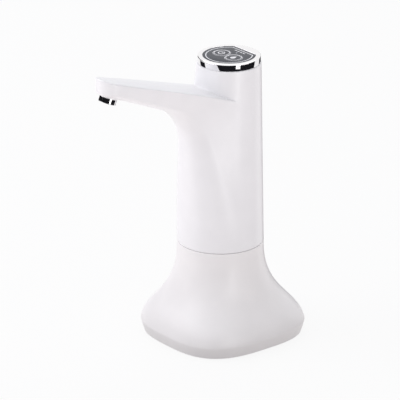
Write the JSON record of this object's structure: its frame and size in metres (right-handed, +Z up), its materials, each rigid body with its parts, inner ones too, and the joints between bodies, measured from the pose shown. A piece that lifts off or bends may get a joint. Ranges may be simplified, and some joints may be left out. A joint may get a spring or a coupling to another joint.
{
  "type": "electric water jug pump",
  "caption": "Rechargeable water pump with a tapered round body, rising spout and top control panel, standing on a flared table base that it lifts off.",
  "frame": {"origin": "in the plane that the base stands on, on the axis of the seat where pump and base meet", "axes": "+Z up along the seat axis, -Y the way the spout points, +X across"},
  "size_m": [0.1194, 0.1903, 0.2506],
  "materials": {
    "shell_white": "glossy white moulded plastic",
    "base_white": "glossy white moulded plastic",
    "inner_white": "plain white moulded plastic",
    "pad_grey": "matt anti-slip rubber",
    "seal_silicone": "soft silicone",
    "tube_silicone": "food-grade silicone",
    "seal_black": "black rubber",
    "screw_steel": "plated steel",
    "motor_steel": "drawn steel",
    "pump_grey": "filled engineering plastic",
    "gear_cream": "acetal",
    "cap_black": "black moulded plastic",
    "cell_blue": "shrink-wrapped cell",
    "board_green": "circuit board",
    "chrome_trim": "bright chrome plating",
    "panel_slate": "dark glossy panel",
    "key_slate": "dark glossy key",
    "light_clear": "clear light guide",
    "lead_red": "insulated leads"
  },
  "bodies": {
    "base": {"base_shell": "base_white", "base_plate": "inner_white", "base_pad": "pad_grey", "base_screws": "screw_steel", "seat_collar": "inner_white", "collar_screws": "screw_steel"},
    "pump": {"body_shell": "shell_white", "neck_seal": "seal_silicone", "bottom_cap": "inner_white", "cap_screws": "screw_steel", "inlet_fitting": "inner_white", "fitting_nut": "screw_steel", "inlet_tube": "tube_silicone", "pump_cover": "pump_grey", "pump_housing": "pump_grey", "pump_screws": "screw_steel", "driven_pin": "screw_steel", "shaft_seal": "seal_black", "motor_can": "motor_steel", "motor_end_cap": "cap_black", "inner_frame": "inner_white", "frame_screws": "screw_steel", "battery_cell": "cell_blue", "charge_board": "board_green", "charge_port": "motor_steel", "outlet_tube": "tube_silicone", "spout_nozzle": "chrome_trim", "nozzle_nut": "pump_grey", "chrome_ring": "chrome_trim", "control_panel": "panel_slate", "key_board": "board_green", "board_screws": "screw_steel", "key_switches": "cap_black", "status_light": "light_clear", "control_leads": "lead_red"},
    "power_key": {"power_key": "key_slate"},
    "fill_key": {"fill_key": "key_slate"},
    "rotor": {"motor_shaft": "motor_steel", "drive_gear": "gear_cream"},
    "idler": {"driven_gear": "gear_cream"}
  },
  "joints": [
    {"name": "lift_off", "type": "slide", "parent": "base", "child": "pump", "axis": [0, 0, 1], "range_m": [0, 0.09]},
    {"name": "power_press", "type": "slide", "parent": "pump", "child": "power_key", "axis": [0, 0, -1], "range_m": [0, 0.0005], "stiffness_N_per_m": 400},
    {"name": "fill_press", "type": "slide", "parent": "pump", "child": "fill_key", "axis": [0, 0, -1], "range_m": [0, 0.0005], "stiffness_N_per_m": 400},
    {"name": "rotor_spin", "type": "hinge", "parent": "pump", "child": "rotor", "pos_m": [-0.005, -0.0065, 0.14], "axis": [0, 0, 1], "continuous": true},
    {"name": "idler_spin", "type": "hinge", "parent": "pump", "child": "idler", "pos_m": [0.005, -0.0065, 0.124], "axis": [0, 0, 1], "continuous": true}
  ],
  "couplings": [
    {"joint": "idler_spin", "follows": "rotor_spin", "ratio": -1}
  ]
}
